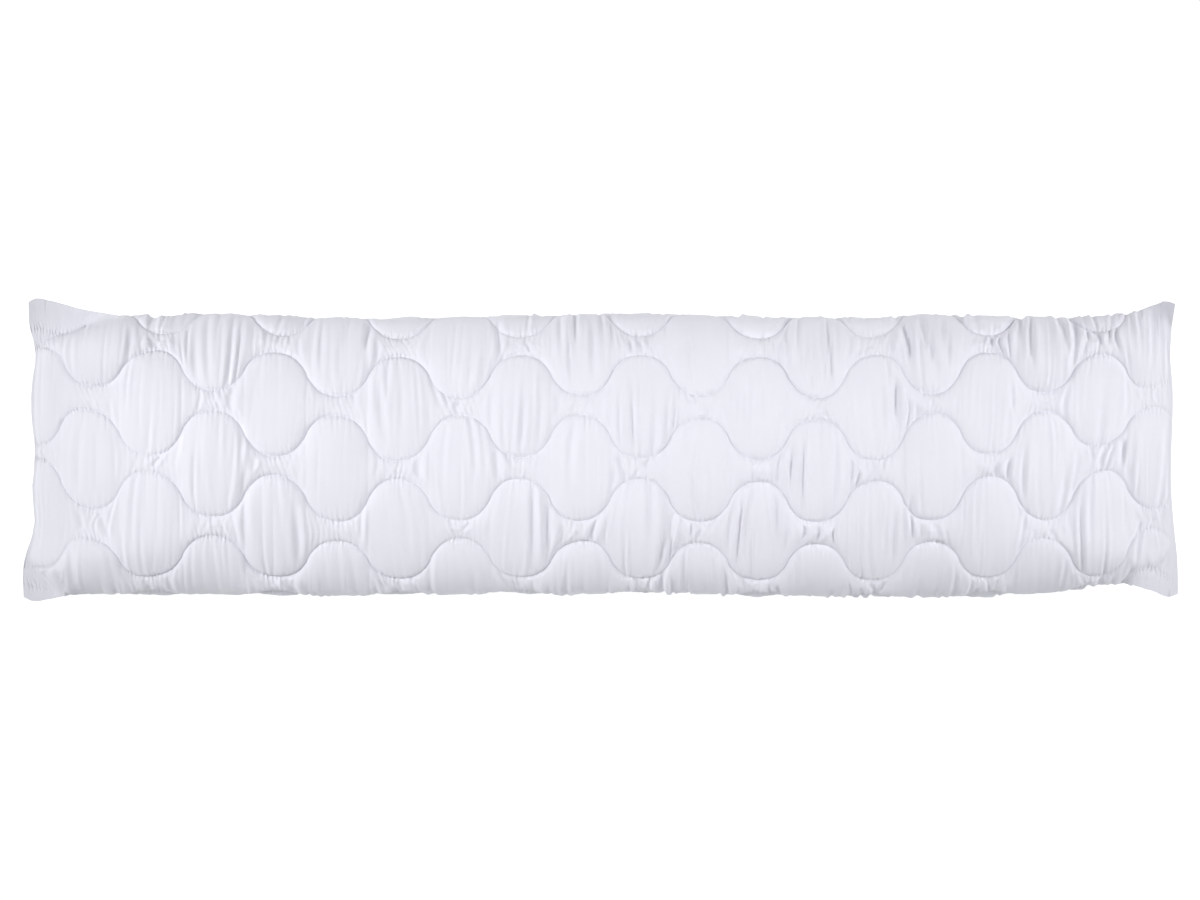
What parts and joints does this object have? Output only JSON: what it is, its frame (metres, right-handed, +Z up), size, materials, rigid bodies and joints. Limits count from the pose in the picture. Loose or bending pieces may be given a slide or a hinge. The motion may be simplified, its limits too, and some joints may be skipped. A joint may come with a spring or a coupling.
{
  "type": "body pillow",
  "caption": "Long filled body pillow in a white wave-quilted cover, lying on its back with softly crowned faces, drawn-in ends and four corner ears.",
  "frame": {"origin": "on the surface the pillow lies on, under the middle of its bounding box", "axes": "+X along the pillow, +Y across it towards the folded long side, +Z up out of the face"},
  "size_m": [1.428, 0.3722, 0.1144],
  "materials": {
    "quilted_cover": "matt white woven microfibre, machine-quilted in lengthwise wave rows, puckered along the stitching"
  },
  "bodies": {
    "root": {"pillow": "quilted_cover"}
  },
  "joints": []
}
